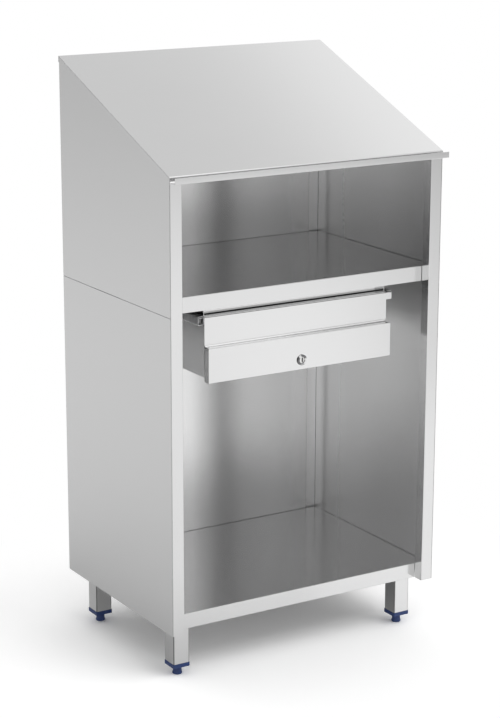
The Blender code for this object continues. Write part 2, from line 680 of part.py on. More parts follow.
def foot_pad(x, y):
    """Turned pad with a wider base, bored for the lower end of the stud."""
    waist = FOOT_TOP_RADIUS
    profile = [(0, 0.0), (FOOT_BASE_RADIUS - FOOT_EDGE, 0.0), (FOOT_BASE_RADIUS, FOOT_EDGE),
               (FOOT_BASE_RADIUS, FOOT_FLARE / 2), (waist, FOOT_FLARE), (waist, FOOT_TOP), (0, FOOT_TOP)]
    bore = prism(circle(x, y, STUD_RADIUS + STUD_CLEARANCE, BORE_SEGMENTS), along_z,
                 STUD_SEAT - STUD_CLEARANCE, FOOT_TOP + LEG)
    return cut(turned(profile, along_z, x, y), bore)


def foot_stud(x, y):
    """Threaded stud, plain here, with chamfered ends."""
    chamfer = STUD_RADIUS / 5
    end = STUD_SEAT + STUD_LENGTH
    profile = [(0, STUD_SEAT), (STUD_RADIUS - chamfer, STUD_SEAT), (STUD_RADIUS, STUD_SEAT + chamfer),
               (STUD_RADIUS, end - chamfer), (STUD_RADIUS - chamfer, end), (0, end)]
    return turned(profile, along_z, x, y, BORE_SEGMENTS)


# Materials: colour, metallic, roughness
FINISHES = {
    "brushed_steel": ((0.62, 0.62, 0.62), 1.0, 0.26),
    "leg_steel": ((0.60, 0.60, 0.61), 1.0, 0.30),
    "runner_steel": ((0.52, 0.53, 0.54), 1.0, 0.36),
    "lock_chrome": ((0.72, 0.72, 0.73), 1.0, 0.12),
    "blue_plastic": ((0.020, 0.065, 0.230), 0.0, 0.42),
    "glide_plastic": ((0.80, 0.79, 0.75), 0.0, 0.45),
}


def material(name):
    """Principled material of a finish, made the first time it is asked for."""
    found = bpy.data.materials.get(name)
    if found:
        return found
    colour, metallic, roughness = FINISHES[name]
    made = bpy.data.materials.new(name)
    made.use_nodes = True
    shader = made.node_tree.nodes["Principled BSDF"]
    shader.inputs["Base Color"].default_value = (*colour, 1.0)
    shader.inputs["Metallic"].default_value = metallic
    shader.inputs["Roughness"].default_value = roughness
    made.diffuse_color = (*colour, 1.0)
    return made


# Assembly

def frame(name, origin, parent=None):
    """Empty that carries a group of pieces; its origin is in cabinet coordinates."""
    empty = bpy.data.objects.new(name, None)
    empty.empty_display_size = 0.05
    bpy.context.scene.collection.objects.link(empty)
    if parent:
        empty.parent = parent["empty"]
        empty.location = Vector(origin) - parent["origin"]
    else:
        empty.location = Vector(origin)
    return {"empty": empty, "origin": Vector(origin)}


def add(name, mesh, finish, carrier, pivot=None):
    """Object for one piece, its own origin on the pivot, carried by a frame."""
    place = Vector(pivot) if pivot else carrier["origin"]
    mesh.name = name
    for vertex in mesh.vertices:
        vertex.co -= place
    mesh.materials.clear()
    mesh.materials.append(material(finish))
    mesh.shade_smooth()
    mesh.set_sharp_from_angle(angle=radians(32))
    piece = bpy.data.objects.new(name, mesh)
    bpy.context.scene.collection.objects.link(piece)
    piece.parent = carrier["empty"]
    piece.location = place - carrier["origin"]
    return piece


def build_cabinet(cabinet):
    for side, hand in ((-1, "left"), (1, "right")):
        lower_panel = side_panel(side, BASE_HEIGHT, SEAM_HEIGHT)
        upper_panel = side_panel(side, SEAM_HEIGHT + SEAM, wall_top)
        add(f"{hand}_front_post", front_post(side), "brushed_steel", cabinet)
        add(f"{hand}_lower_side_panel", lower_panel, "brushed_steel", cabinet)
        add(f"{hand}_upper_side_panel", upper_panel, "brushed_steel", cabinet)
    add("lower_back_panel", back_panel(BASE_HEIGHT, SEAM_HEIGHT), "brushed_steel", cabinet)
    add("upper_back_panel", back_panel(SEAM_HEIGHT + SEAM, back_panel_top), "brushed_steel", cabinet)
    add("desk_top", desk_top(), "brushed_steel", cabinet)
    add("desk_stiffener", desk_stiffener(), "brushed_steel", cabinet)
    add("middle_shelf", shelf(MID_SHELF_TOP), "brushed_steel", cabinet)
    add("base_shelf", shelf(BASE_SHELF_TOP), "brushed_steel", cabinet)
    add("base_stiffener", base_stiffener(), "brushed_steel", cabinet)
    add("drawer_cross_rail", cross_rail(), "brushed_steel", cabinet)
    add("lock_keeper", keeper(), "brushed_steel", cabinet)


def build_runners(cabinet):
    hangers = {"front": RUNNER_FRONT + HANGER_END_INSET,
               "rear": BOX_BACK - HANGER_END_INSET - HANGER_WIDTH}
    for side, hand in ((-1, "left"), (1, "right")):
        add(f"{hand}_runner", runner(side), "runner_steel", cabinet)
        add(f"{hand}_front_glide", front_glide(side), "glide_plastic", cabinet)
        for end, start in hangers.items():
            add(f"{hand}_{end}_hanger", runner_hanger(side, start), "runner_steel", cabinet)


def build_drawer(cabinet):
    drawer = frame("drawer_slide", (0.0, FRONT_SETBACK, PLATE_BOTTOM), cabinet)
    add("drawer_box", drawer_box(), "brushed_steel", drawer)
    add("drawer_box_front", drawer_box_front(), "brushed_steel", drawer)
    add("drawer_box_back", drawer_box_back(), "brushed_steel", drawer)
    add("drawer_front", drawer_front(), "brushed_steel", drawer)
    for side, hand in ((-1, "left"), (1, "right")):
        add(f"{hand}_drawer_rail", drawer_rail(side), "runner_steel", drawer)
        add(f"{hand}_rear_glide", rear_glide(side), "glide_plastic", drawer)
    axis = (0.0, FRONT_SETBACK, LOCK_HEIGHT)
    add("lock_body", lock_body(), "lock_chrome", drawer, axis)
    add("lock_nut", lock_nut(), "lock_chrome", drawer, axis)
    turning = frame("lock_turn", axis, drawer)
    add("lock_plug", lock_plug(), "lock_chrome", turning, axis)
    add("lock_cam", lock_cam(), "runner_steel", turning, axis)


def build_legs(cabinet):
    for row, end in enumerate(("front", "rear")):
        for side, hand in ((-1, "left"), (1, "right")):
            x, y = leg_centre(side, row)
            place = f"{hand}_{end}"
            add(f"{place}_leg", leg(x, y), "leg_steel", cabinet)
            add(f"{place}_leg_plate", leg_plate(x, y), "leg_steel", cabinet)
            add(f"{place}_leg_plug", leg_plug(x, y), "blue_plastic", cabinet)
            foot = frame(f"{place}_foot", (x, y, 0.0), cabinet)
            add(f"{place}_foot_pad", foot_pad(x, y), "blue_plastic", foot)
            add(f"{place}_foot_stud", foot_stud(x, y), "leg_steel", foot)


def main():
    for item in list(bpy.data.objects):
        bpy.data.objects.remove(item)
    cabinet = frame("host_stand", (0.0, 0.0, 0.0))
    build_cabinet(cabinet)
    build_runners(cabinet)
    build_drawer(cabinet)
    build_legs(cabinet)
    cabinet["empty"].location.y = -MIDDLE


main()
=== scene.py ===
import json
from math import radians, tau

import bmesh
import bpy
from mathutils import Matrix, Vector


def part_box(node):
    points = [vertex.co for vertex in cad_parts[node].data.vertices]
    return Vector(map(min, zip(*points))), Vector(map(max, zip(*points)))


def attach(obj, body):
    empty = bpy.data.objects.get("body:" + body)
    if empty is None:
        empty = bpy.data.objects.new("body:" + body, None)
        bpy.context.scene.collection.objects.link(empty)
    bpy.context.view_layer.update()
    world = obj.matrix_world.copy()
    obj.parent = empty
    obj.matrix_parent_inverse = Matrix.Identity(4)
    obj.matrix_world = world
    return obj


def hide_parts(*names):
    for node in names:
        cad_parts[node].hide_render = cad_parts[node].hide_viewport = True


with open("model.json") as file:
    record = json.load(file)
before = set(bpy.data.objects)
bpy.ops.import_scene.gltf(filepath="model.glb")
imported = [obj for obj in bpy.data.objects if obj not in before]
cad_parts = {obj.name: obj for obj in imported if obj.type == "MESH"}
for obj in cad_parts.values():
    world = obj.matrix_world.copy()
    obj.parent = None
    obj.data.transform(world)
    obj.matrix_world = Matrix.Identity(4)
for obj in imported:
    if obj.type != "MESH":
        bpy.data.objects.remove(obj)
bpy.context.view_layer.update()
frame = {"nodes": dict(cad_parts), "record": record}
scene = bpy.context.scene
NODES = frame["nodes"]
BODY_OF = {node: body for body, nodes in frame["record"]["behaviour"]["bodies"].items() for node in nodes}
SLOT_OF = {part["node"]: part["material_slot"] for part in frame["record"]["subparts"]}
LEGS = [f"{hand}_{end}" for hand in ("left", "right") for end in ("front", "rear")]

# Camera
CAMERA_PLACE = (-2.40367, -3.89914, 1.84700)
CAMERA_TURN = -31.583        # degrees, about the vertical
CAMERA_DOWN = 14.664         # degrees below the horizon
CAMERA_ROLL = 0.141          # degrees
CAMERA_LENS = 103.114        # mm
PICTURE_HEIGHT = 36.0        # mm, behind the lens
CAMERA_REACH = 200.0         # metres

# Sheet metal, in metres
EDGE_ROUND = 0.00035         # rounding of cut sheet edges
HEM_ROUND = 0.0014           # rounding of a sheet folded back on itself
DESK_EDGE = 0.0011           # rounding of the desk top's upper edges at its two ends
DESK_END = 0.006             # strip beside that rounding, which keeps the rest of the slope flat
CLEARANCE = 0.0004           # between sheets that nearly touch
LIP_BEND = 0.006             # outer radius of the gutter's lower bend in the solid
LIP_FOLD = 0.0010            # the same bend as folded
FOLD_FACETS = 0.045          # share of the radius by which corners of the solid's fold may miss it
HANGER_SHEET = 0.0015
BOX_SHEET = 0.0012
UPRIGHT_EDGE = 0.1           # an edge that rises more than this runs up a panel
SAME_PLACE = 1e-6
SAME_PLANE = 1e-5
SHARP = radians(40)          # sheet that turns more than this at an edge is cut there
FLAT = radians(0.5)          # facets that turn less than this are one face

# Small parts, in metres
RIVET = {"Radius": 0.0032, "Height": 0.0011, "Dent": 0.0006}
SPOT_WELD = {"Radius": 0.0029, "Height": 0.0003, "Dent": 0.0002}
SPOT_WELD_PITCH = 0.085
SPOT_WELD_END = 0.040        # from a back panel's ends to the nearest weld
SPOT_WELD_INSET = 0.0065     # from a back panel's edges
LEG_NUT = {"Across": 0.010, "Height": 0.005, "Washer": 0.0012, "Stud": 0.003}
LEG_NUT_OFFSET = 0.029       # from the middle of a leg plate, both ways
LEG_BEAD = {"Width": 0.0016, "Pitch": 0.0016}
BEAD_CORNER = 0.003          # from a leg's corner to where the bead starts to turn
BEAD_PROUD = 0.0004          # from the leg and from its plate to the middle of the bead
HANGER_NUT = {"Across": 0.008, "Height": 0.004, "Washer": 0.001, "Stud": 0.002}
HANGER_NUT_END = 0.010       # from a hanger's ends
HANGER_NUT_SHIFT = 0.002     # outwards from the middle of a hanger's flange
KEEPER_RIVET_X = 0.012
KEEPER_RIVET_INSET = 0.0065
DRAWER_RIVET_SHARES = (0.09, 0.36, 0.64, 0.91)   # of the drawer box's depth
CAM_NUT = {"Across": 0.009, "Height": 0.0022, "Washer": 0.0004, "Stud": 0.0005}
THREAD_ROOT = 0.0042
THREAD_PITCH = 0.0015
THREAD_RINGS = 240
WASHER_BAR = (28, 3, 0.64, 0.04)   # corners, rings, radius as a share of a nut's size across, chamfer
HEXAGON_BAR = (6, 6, 0.577, 0.10)
STUD_BAR = (18, 8, 0.29, 0.16)
BAR_END = (0.38, 0.50)       # where a chamfer starts and ends, as shares of the length from the middle
THREAD_END = (0.475, 0.50)   # the same on a threaded stud
THREAD_TAPER = 0.22
DENT_EDGE = (0.42, 0.22)     # where a rivet's dent starts and is full, as shares of the head's radius
SCALE_OVERLAP = 1.15         # length of a weld bead's scales, as a share of their pitch


# Shader writing

class Wire:
    """Output of a node; arithmetic on it adds Math nodes."""

    def __init__(self, paint, socket):
        self.paint = paint
        self.socket = socket

    def __add__(self, other):
        return self.paint.math("ADD", self, other)

    def __radd__(self, other):
        return self.paint.math("ADD", other, self)

    def __sub__(self, other):
        return self.paint.math("SUBTRACT", self, other)

    def __rsub__(self, other):
        return self.paint.math("SUBTRACT", other, self)

    def __mul__(self, other):
        return self.paint.math("MULTIPLY", self, other)

    def __rmul__(self, other):
        return self.paint.math("MULTIPLY", other, self)

    def __truediv__(self, other):
        return self.paint.math("DIVIDE", self, other)

    def __pow__(self, other):
        return self.paint.math("POWER", self, other)


class Outputs:
    """Outputs of one node, by name or number."""

    def __init__(self, paint, made):
        self.paint = paint
        self.made = made

    def __getitem__(self, key):
        return Wire(self.paint, self.made.outputs[key])


class Paint:
    """A node tree being written."""

    def __init__(self, tree):
        self.tree = tree
        self.tree.nodes.clear()

    def node(self, kind, settings=None, inputs=None):
        made = self.tree.nodes.new(kind)
        for name, value in (settings or {}).items():
            setattr(made, name, value)
        for key, value in (inputs or {}).items():
            if isinstance(value, Wire):
                self.tree.links.new(value.socket, made.inputs[key])
            elif isinstance(value, list) and isinstance(value[0], Wire):
                for wire in value:
                    self.tree.links.new(wire.socket, made.inputs[key])
            else:
                made.inputs[key].default_value = value
        return Outputs(self, made)

    def math(self, operation, *values):
        return self.node("ShaderNodeMath", {"operation": operation}, dict(enumerate(values)))["Value"]

    def largest(self, first, *others):
        for other in others:
            first = self.math("MAXIMUM", first, other)
        return first

    def size_of(self, value):
        return self.math("ABSOLUTE", value)

    def parts_of(self, vector):
        """X, Y and Z of a place or direction."""
        return self.node("ShaderNodeSeparateXYZ", {}, {0: vector})

    def vector(self, x, y, z):
        return self.node("ShaderNodeCombineXYZ", {}, {0: x, 1: y, 2: z})["Vector"]

    def rise(self, value, none, full):
        """Smooth step from 0, where the value is at none, to 1, where it is at full."""
        settings = {"interpolation_type": "SMOOTHSTEP"}
        return self.node("ShaderNodeMapRange", settings, {
            "Value": value, "From Min": none, "From Max": full})[0]

    def overlap(self, *steps):
        """Product of smooth steps, each given as its value, none and full."""
        mask = self.rise(*steps[0])
        for step in steps[1:]:
            mask = mask * self.rise(*step)
        return mask

    def between(self, factor, low, high):
        """Colour between two colours, each given or from a node."""
        low, high = (colour if isinstance(colour, Wire) else (*colour, 1.0) for colour in (low, high))
        settings = {"data_type": "RGBA", "clamp_factor": True}
        return self.node("ShaderNodeMix", settings, {0: factor, 6: low, 7: high})[2]

    def tones(self, factor, tone, darkest, brightest):
        """One tone, varied between two shares of it."""
        return self.between(factor, shade(tone, darkest), shade(tone, brightest))

    def grey(self, level):
        channels = {"Red": level, "Green": level, "Blue": level}
        return self.node("ShaderNodeCombineColor", {}, channels)["Color"]

    def object_place(self, scale=(1.0, 1.0, 1.0)):
        place = self.node("ShaderNodeTexCoord")["Object"]
        return self.node("ShaderNodeMapping", {}, {"Vector": place, "Scale": scale})["Vector"]

    def noise(self, scale, detail=2.0):
        """Noise between 0 and 1 whose grains have a size of 1/scale metres along each axis."""
        place = self.object_place(scale)
        return self.node("ShaderNodeTexNoise", {}, {
            "Vector": place, "Scale": 1.0, "Detail": detail, "Roughness": 0.5})["Fac"]

    def relief(self, height, strength, depth):
        return self.node("ShaderNodeBump", {}, {
            "Strength": strength, "Distance": depth, "Height": height})["Normal"]

    def finish_with(self, shader):
        self.node("ShaderNodeOutputMaterial", {}, {"Surface": shader})

    def surface(self, **inputs):
        """Principled shader as the material's surface; words in socket names are joined by _ here."""
        named = {key.replace("_", " "): value for key, value in inputs.items()}
        self.finish_with(self.node("ShaderNodeBsdfPrincipled", {}, named)["BSDF"])


def new_paint(name):
    made = bpy.data.materials.new(name)
    made.use_nodes = True
    return made, Paint(made.node_tree)


def shade(tone, factor):
    return tuple(channel * factor for channel in tone)


# Tone patches: painted light and shade
#
# The patches are fitted to the reflections in the photo; they are no features of the steel. Each is made of
# smooth steps: what a step reads, where it is 0 and where it is 1. Places are in metres, and "to" is a part
# of the direction that a face looks in.

def place_of(paint):
    return paint.parts_of(paint.object_place())


def facing(paint):
    """Direction that a face looks in, as three values."""
    return paint.parts_of(paint.node("ShaderNodeNewGeometry")["True Normal"])


def front_bend(paint):
    way = facing(paint)
    return paint.size_of(way["X"]) * way["Y"]


def tube_bend(paint):
    way = facing(paint)
    return paint.size_of(way["X"] * way["Y"])


READINGS = {
    "x": lambda paint: place_of(paint)["X"],
    "y": lambda paint: place_of(paint)["Y"],
    "z": lambda paint: place_of(paint)["Z"],
    "x either side": lambda paint: paint.size_of(place_of(paint)["X"]),
    "to back": lambda paint: facing(paint)["Y"],
    "to top": lambda paint: facing(paint)["Z"],
    "to either side": lambda paint: paint.size_of(facing(paint)["X"]),
    "to front or back": lambda paint: paint.size_of(facing(paint)["Y"]),
    "front bend": front_bend,
    "tube bend": tube_bend,
}
SIDEWAYS = ("to either side", 0.80, 0.95)
FRONTWARD = ("to back", -0.5, -0.9)
ON_LEDGE = ("to top", 0.10, 0.30)
INSIDE_WALLS = ("x either side", 0.3497, 0.3491)
# SIDE_FACES: painted shade on the drawer front's side returns.
SIDE_FACES = (SIDEWAYS,)
# TOP_FACES: painted shade on the shelves' upward faces.
TOP_FACES = (("to top", 0.80, 0.95),)
# FLANGES: painted light on the side panels' faces that look to the front or back.
FLANGES = (("to front or back", 0.96, 0.99),)
# INNER_BENDS: painted shade in the side panels' bends that face to the front and sideways.
INNER_BENDS = (("front bend", -0.10, -0.30),)
# TUBE_BENDS: painted shade on the legs' corner bends.
TUBE_BENDS = (("tube bend", 0.10, 0.30),)
# WALL_FRONTS: painted light on the inner walls towards the front.
WALL_FRONTS = (("y", 0.16, -0.20), INSIDE_WALLS)
WALL_BACKS = (("y", 0.12, 0.20), INSIDE_WALLS)
# WALL_BANDS: painted shade in a band near the back of the inner walls, below the middle shelf.
WALL_BANDS = (("y", 0.246, 0.230), ("y", 0.190, 0.216), INSIDE_WALLS, SIDEWAYS, ("z", 0.84, 0.78))
# WALL_FEET: painted shade low at the back of the inner walls.
WALL_FEET = (("y", 0.10, 0.20), ("z", 0.36, 0.22), INSIDE_WALLS)
# POST_RETURNS: painted light on the posts' inner returns.
POST_RETURNS = (SIDEWAYS, ("x either side", 0.335, 0.325), ("z", 0.15, 0.20))
# PANEL_LEFT, PANEL_MIDDLE, PANEL_RIGHT: painted light and shade in upright bands across the back panels'
# fronts.
PANEL_LEFT = (FRONTWARD, ("x", 0.02, -0.02), ("x", -0.10, -0.05))
PANEL_MIDDLE = (FRONTWARD, ("x", 0.03, 0.10), ("x", 0.23, 0.15), ("z", 0.46, 0.26))
PANEL_RIGHT = (FRONTWARD, ("x", 0.24, 0.32))
# PANEL_HEMS: painted shade on the back panels' hems.
PANEL_HEMS = (("to either side", 0.03, 0.12), ("z", 0.44, 0.20))
# LEDGE and LEDGE_LEFT: painted highlight on the drawer front's ledge, stronger on its left.
LEDGE = (ON_LEDGE,)
LEDGE_LEFT = (ON_LEDGE, ("x", 0.16, -0.12))

# The lock's plug and rim, in metres: the keyway from the plug's front, the rest from the middle of each
# Painted shade in the keyway, and on the plug's face beside it
KEYWAY_DEPTH = (0.0003, 0.0010)
PLUG_SHADE_X = 0.0016
PLUG_SHADE_HALF_WIDTH = (0.0022, 0.0014)
PLUG_SHADE_HALF_HEIGHT = (0.0062, 0.0048)
RIM_HOLE = 0.001
# Painted highlights on the lock's rim
RIM_GLINTS = (               # direction across and up, how well it is met at the edge and in full, strength
    (-0.56, 0.83, 0.945, 0.985, 1.0),
    (0.94, -0.34, 0.60, 0.85, 1.0),
    (0.35, -0.94, 0.45, 0.90, 0.40))


def mask_of(paint, patch):
    return paint.overlap(*((READINGS[what](paint), none, full) for what, none, full in patch))


def keyway(paint):
    """1 where shade is painted: in the keyway of the lock's plug and on the dark part of its face beside
    it.
    """
    low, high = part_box("lock_plug")
    place = place_of(paint)
    behind = paint.rise(place["Y"], *(low.y + depth for depth in KEYWAY_DEPTH))
    across = paint.size_of(place["X"] - (low.x + high.x) / 2 - PLUG_SHADE_X)
    up = paint.size_of(place["Z"] - (low.z + high.z) / 2)
    dark = paint.overlap((across, *PLUG_SHADE_HALF_WIDTH), (up, *PLUG_SHADE_HALF_HEIGHT))
    return paint.largest(behind, dark)


def painted_rim_glints(paint):
    """1 where highlights are painted on the lock's rim: its upper left, its right and, weaker, its bottom.
    """
    low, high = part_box("lock_body")
    place = place_of(paint)
    across, up = place["X"] - (low.x + high.x) / 2, place["Z"] - (low.z + high.z) / 2
    out = paint.largest((across * across + up * up) ** 0.5, RIM_HOLE)
    glints = []
    for glint_x, glint_z, edge, full, strength in RIM_GLINTS:
        met = (across * glint_x + up * glint_z) / out
        glints.append(paint.rise(met, edge, full) * strength)
    return paint.largest(*glints)


# Finishes

ALONG_X, ALONG_Y, ALONG_Z = 0, 1, 2
GRAINS = (                   # number to a metre across and along, detail, share in tone, share in roughness
    (2200.0, 12.0, 3.0, 0.5, 0.02),    # brushed hairs
    (190.0, 3.0, 2.0, 0.12, 0.008),    # lanes of the brushing belt
    (3.1, 3.1, 3.0, 0.2, 0.02))        # marks of handling
STEEL_SPREAD = (0.95, 1.05)  # darkest and brightest grain, as shares of the tone
STEEL_RELIEF = (0.02, 0.0002)
COARSER = 0.04               # roughness added where a sheet is coarse
QUARTER_TURN = 0.25
ZINC_CRYSTALS = (160.0, 160.0, 160.0)   # to a metre, as the next four are
ZINC_GRAINS = (600.0, 600.0, 600.0)
NICKEL_WIPES = (90.0, 900.0, 300.0)
PLASTIC_SKIN = (2600.0, 2600.0, 2600.0)
PLASTIC_FLOW = (60.0, 60.0, 25.0)
PLASTIC_RELIEF = (0.10, 0.0001)


def streaks(paint, along, fine, long, detail):
    """Noise around 0, drawn out along one axis."""
    scale = [fine] * 3
    scale[along] = long
    return paint.noise(scale, detail) - 0.5


def brushed_steel(name, tone, along, roughness, patches=(), stretch=0.0, coarse=None):
    """Bright stainless sheet with a fine brushed grain along one axis and faint handling marks.

    Each patch paints light or shade into the tone and comes with the factor of its tone. The stretch widens
    reflections across the grain of upright sheets that are brushed level, and the coarse patch is rougher.
    """
    made, paint = new_paint(name)
    mix, gloss, drawn = 0.5, roughness, []
    for fine, long, detail, in_tone, in_gloss in GRAINS:
        grain = streaks(paint, along, fine, long, detail)
        mix = mix + grain * in_tone
        gloss = gloss + grain * in_gloss
        drawn.append(grain)
    colour = paint.tones(mix, tone, *STEEL_SPREAD)
    for patch, factor in patches:
        patch_colour = paint.tones(mix, shade(tone, factor), *STEEL_SPREAD)
        colour = paint.between(mask_of(paint, patch), colour, patch_colour)
    if coarse:
        gloss = gloss + mask_of(paint, coarse) * COARSER
    hairs, lanes = drawn[:2]
    paint.surface(Base_Color=colour, Metallic=1.0, Roughness=gloss,
                  Normal=paint.relief(hairs + lanes, *STEEL_RELIEF),
                  Anisotropic=stretch, Anisotropic_Rotation=QUARTER_TURN)
    return made


def zinc_plate(name, tone):
    """Zinc plated steel: a dull grey with soft crystalline patches."""
    made, paint = new_paint(name)
    crystals = paint.node("ShaderNodeTexVoronoi", {"feature": "F1"}, {
        "Vector": paint.object_place(ZINC_CRYSTALS), "Scale": 1.0})["Color"]
    crystal = paint.node("ShaderNodeRGBToBW", {}, {"Color": crystals})["Val"]
    fine = paint.noise(ZINC_GRAINS)
    paint.surface(Base_Color=paint.tones(crystal * 0.7 + fine * 0.3, tone, 0.84, 1.10), Metallic=1.0,
                  Roughness=0.28 + crystal * 0.10 + fine * 0.08)
    return made


def nickel_plate(name, tone, painted_mask=None, painted_tone=None):
    """Polished nickel with faint wiping marks, and another tone where light or shade is painted on it."""
    made, paint = new_paint(name)
    wipe = paint.noise(NICKEL_WIPES, 3.0)
    colour = paint.tones(wipe, tone, 0.94, 1.03)
    if painted_mask:
        colour = paint.between(painted_mask(paint), colour, painted_tone)
    paint.surface(Base_Color=colour, Metallic=1.0, Roughness=0.08 + wipe * 0.10)
    return made


def moulded_plastic(name, tone, roughness):
    """Satin moulded plastic with a fine spark-eroded skin and faint flow marks."""
    made, paint = new_paint(name)
    skin = paint.noise(PLASTIC_SKIN)
    flow = paint.noise(PLASTIC_FLOW, 3.0)
    paint.surface(Base_Color=paint.tones(flow * 0.8 + skin * 0.2, tone, 0.86, 1.14),
                  Roughness=roughness + (flow - 0.5) * 0.16, Normal=paint.relief(skin, *PLASTIC_RELIEF))
    return made


STEEL_TONE = (0.735, 0.735, 0.736)
NICKEL_TONE = (0.76, 0.76, 0.75)
# In the patches below, factors above 1 are painted light and factors below 1 are painted shade.
POST_STEEL = brushed_steel("post_steel", STEEL_TONE, ALONG_Z, 0.13, ((POST_RETURNS, 1.14),))
SIDE_STEEL = brushed_steel(
    "side_steel", STEEL_TONE, ALONG_Y, 0.26,
    ((WALL_FRONTS, 1.18), (WALL_BANDS, 0.92), (WALL_FEET, 0.91), (FLANGES, 1.30), (INNER_BENDS, 0.25)),
    0.70, WALL_BACKS)
# BACK_STEEL's tone raised by 6 % is painted light.
BACK_STEEL = brushed_steel(
    "back_steel", shade(STEEL_TONE, 1.06), ALONG_X, 0.26,
    ((PANEL_LEFT, 1.12), (PANEL_MIDDLE, 0.91), (PANEL_RIGHT, 1.08), (PANEL_HEMS, 0.60)), 0.70)
DESK_STEEL = brushed_steel("desk_steel", STEEL_TONE, ALONG_X, 0.13)
BASE_STEEL = brushed_steel("base_steel", STEEL_TONE, ALONG_X, 0.17, ((TOP_FACES, 0.86),))
SHELF_STEEL = brushed_steel("shelf_steel", STEEL_TONE, ALONG_X, 0.17, ((TOP_FACES, 0.74),))
FRONT_STEEL = brushed_steel("front_steel", STEEL_TONE, ALONG_X, 0.13,
                            ((SIDE_FACES, 0.62), (LEDGE, 1.10), (LEDGE_LEFT, 1.34)))
# BOX_STEEL's tone lowered to 0.89 is painted shade on the drawer box.
BOX_STEEL = brushed_steel("box_steel", shade(STEEL_TONE, 0.89), ALONG_Y, 0.24)
TUBE_STEEL = brushed_steel("tube_steel", STEEL_TONE, ALONG_Z, 0.14, ((TUBE_BENDS, 0.25),))
WELD = brushed_steel("weld_steel", shade(STEEL_TONE, 0.70), ALONG_Z, 0.34)
# Painted highlights on the lock's rim in a light tone, and painted shade in and beside the plug's keyway.
BLACK_NICKEL = nickel_plate("black_nickel", (0.17, 0.17, 0.175), painted_rim_glints, (0.74, 0.74, 0.74))
PLUG_NICKEL = nickel_plate("plug_nickel", NICKEL_TONE, keyway, (0.20, 0.20, 0.20))
NICKEL = nickel_plate("nickel", NICKEL_TONE)
ZINC = zinc_plate("zinc", (0.78, 0.785, 0.79))
BLUE = moulded_plastic("blue_moulding", (0.013, 0.036, 0.138), 0.40)
NYLON = moulded_plastic("nylon", (0.20, 0.20, 0.20), 0.45)

FINISH_OF_SLOT = {"brushed_steel": DESK_STEEL, "leg_steel": TUBE_STEEL, "runner_steel": ZINC,
                  "lock_chrome": NICKEL, "blue_plastic": BLUE, "glide_plastic": NYLON}
FINISH_OF_KIND = {"post": POST_STEEL, "side_panel": SIDE_STEEL, "back_panel": BACK_STEEL,
                  "base_shelf": BASE_STEEL, "middle_shelf": SHELF_STEEL,
                  "drawer_front": FRONT_STEEL, "drawer_box": BOX_STEEL,
                  "lock_body": BLACK_NICKEL, "lock_plug": PLUG_NICKEL}


def finish_of(node):
    for kind, finish in FINISH_OF_KIND.items():
        if kind in node:
            return finish
    return FINISH_OF_SLOT[SLOT_OF[node]]


# Pieces

def place_piece(name, mesh, body, finish):
    """Object for a finished mesh that is already in its place, riding on a body."""
    mesh.name = name
    mesh.materials.clear()
    mesh.materials.append(finish)
    piece = bpy.data.objects.new(name, mesh)
    scene.collection.objects.link(piece)
    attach(piece, body)
    return piece


def evaluated_mesh(source):
    """Plain mesh of an object with its modifiers, which is then removed."""
    state = bpy.context.evaluated_depsgraph_get()
    mesh = bpy.data.meshes.new_from_object(source.evaluated_get(state))
    old = source.data
    bpy.data.objects.remove(source)
    bpy.data.meshes.remove(old)
    return mesh


def half_width(solid):
    return max(vert.co.x for vert in solid.verts)


def roll_end_edges(solid, chosen, offset, segments):
    """Rounding of the chosen edges among those at the two ends of a sheet."""
    half = half_width(solid)
    ends = [edge for edge in solid.edges
            if all(abs(vert.co.x) > half - SAME_PLANE for vert in edge.verts) and chosen(edge)]
    bmesh.ops.bevel(solid, geom=ends, offset=offset, segments=segments, profile=0.5, affect="EDGES",
                    clamp_overlap=True)


def runs_up(edge):
    return abs(edge.verts[0].co.z - edge.verts[1].co.z) > UPRIGHT_EDGE


def is_upper(edge):
    return any(face.normal.z > 0.5 for face in edge.link_faces)


def tighten_lip(solid):
    """The pen gutter's lip, folded up over a sharp tool."""
    front = min(vert.co.y for vert in solid.verts)
    floor = min(vert.co.z for vert in solid.verts if vert.co.y < front + 2 * LIP_BEND)
    centre = Vector((0.0, front + LIP_BEND, floor + LIP_BEND))
    change = LIP_FOLD - LIP_BEND
    for vert in solid.verts:
        arm = Vector((0.0, vert.co.y - centre.y, vert.co.z - centre.z))
        if abs(arm.length - LIP_BEND) < FOLD_FACETS * LIP_BEND and arm.y < SAME_PLACE:
            vert.co += Vector((0.0, change, change)) + arm * (change / LIP_BEND)


def slice_across(solid, x):
    """Cut through a sheet, which keeps the flat parts beside its ends flat."""
    for place in (-x, x):
        everything = list(solid.verts) + list(solid.edges) + list(solid.faces)
        bmesh.ops.bisect_plane(solid, geom=everything, plane_co=(place, 0, 0), plane_no=(1, 0, 0))


def fill_strips(solid):
    """Back corners of a shelf, which reach past the back panel's edges to the strips beside it."""
    back = max(vert.co.y for vert in solid.verts)
    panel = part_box("lower_back_panel")[1]
    edge = panel.x + CLEARANCE
    slice_across(solid, edge)
    for vert in solid.verts:
        if vert.co.y > back - SAME_PLANE and abs(vert.co.x) > edge + CLEARANCE / 4:
            vert.co.y += panel.y - back


